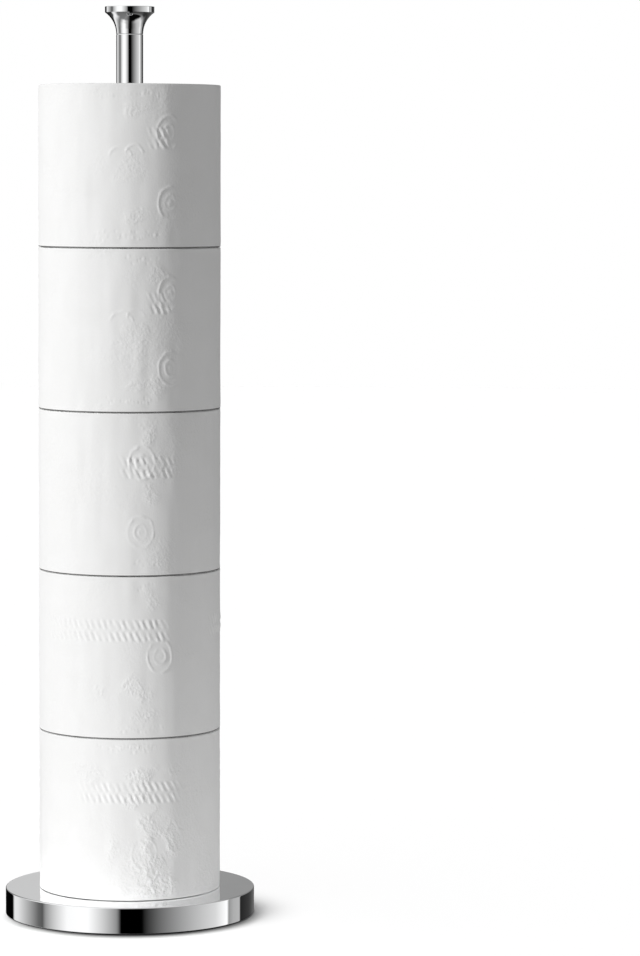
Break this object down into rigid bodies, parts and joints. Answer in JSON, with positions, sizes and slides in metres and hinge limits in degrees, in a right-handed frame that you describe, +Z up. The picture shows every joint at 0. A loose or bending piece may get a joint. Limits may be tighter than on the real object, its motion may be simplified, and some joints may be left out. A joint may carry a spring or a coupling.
{
  "type": "freestanding toilet paper holder",
  "caption": "Weighted chrome disc base with a straight post and a flared finial, holding a stack of loose toilet rolls that lift off and turn on the post.",
  "frame": {"origin": "centre of the underside, on the floor plane the rubber pad stands on", "axes": "+Z up along the post; X and Y lie in the floor plane, and the picture looks along +Y"},
  "size_m": [0.15, 0.15, 0.5445],
  "materials": {
    "chrome": "polished chrome plate on steel",
    "iron": "painted sand casting",
    "rubber": "matt rubber",
    "steel": "zinc-plated steel",
    "nylon": "natural nylon",
    "tissue": "soft embossed white tissue",
    "cardboard": "spiral-wound grey-brown cardboard"
  },
  "bodies": {
    "holder": {"base_cover": "chrome", "base_weight": "iron", "floor_pad": "rubber", "clamp_washer": "steel", "clamp_screw": "steel", "post_washer": "nylon", "post_tube": "chrome", "post_foot_insert": "steel", "post_head_insert": "steel", "finial_stud": "steel", "finial": "chrome"},
    "core_1": {"roll_1_core": "cardboard"},
    "paper_1": {"roll_1_paper": "tissue"},
    "core_2": {"roll_2_core": "cardboard"},
    "paper_2": {"roll_2_paper": "tissue"},
    "core_3": {"roll_3_core": "cardboard"},
    "paper_3": {"roll_3_paper": "tissue"},
    "core_4": {"roll_4_core": "cardboard"},
    "paper_4": {"roll_4_paper": "tissue"},
    "core_5": {"roll_5_core": "cardboard"},
    "paper_5": {"roll_5_paper": "tissue"}
  },
  "joints": [
    {"name": "roll_1_lift", "type": "slide", "parent": "holder", "child": "core_1", "axis": [0, 0, 1], "range_m": [0, 0.534]},
    {"name": "roll_1_spin", "type": "hinge", "parent": "core_1", "child": "paper_1", "pos_m": [0, 0, 0.0644], "axis": [0, 0, 1], "continuous": true},
    {"name": "roll_2_lift", "type": "slide", "parent": "core_1", "child": "core_2", "axis": [0, 0, 1], "range_m": [0, 0.437]},
    {"name": "roll_2_spin", "type": "hinge", "parent": "core_2", "child": "paper_2", "pos_m": [0, 0, 0.1608], "axis": [0, 0, 1], "continuous": true},
    {"name": "roll_3_lift", "type": "slide", "parent": "core_2", "child": "core_3", "axis": [0, 0, 1], "range_m": [0, 0.341]},
    {"name": "roll_3_spin", "type": "hinge", "parent": "core_3", "child": "paper_3", "pos_m": [0, 0, 0.2572], "axis": [0, 0, 1], "continuous": true},
    {"name": "roll_4_lift", "type": "slide", "parent": "core_3", "child": "core_4", "axis": [0, 0, 1], "range_m": [0, 0.244]},
    {"name": "roll_4_spin", "type": "hinge", "parent": "core_4", "child": "paper_4", "pos_m": [0, 0, 0.3536], "axis": [0, 0, 1], "continuous": true},
    {"name": "roll_5_lift", "type": "slide", "parent": "core_4", "child": "core_5", "axis": [0, 0, 1], "range_m": [0, 0.148]},
    {"name": "roll_5_spin", "type": "hinge", "parent": "core_5", "child": "paper_5", "pos_m": [0, 0, 0.45], "axis": [0, 0, 1], "continuous": true}
  ]
}
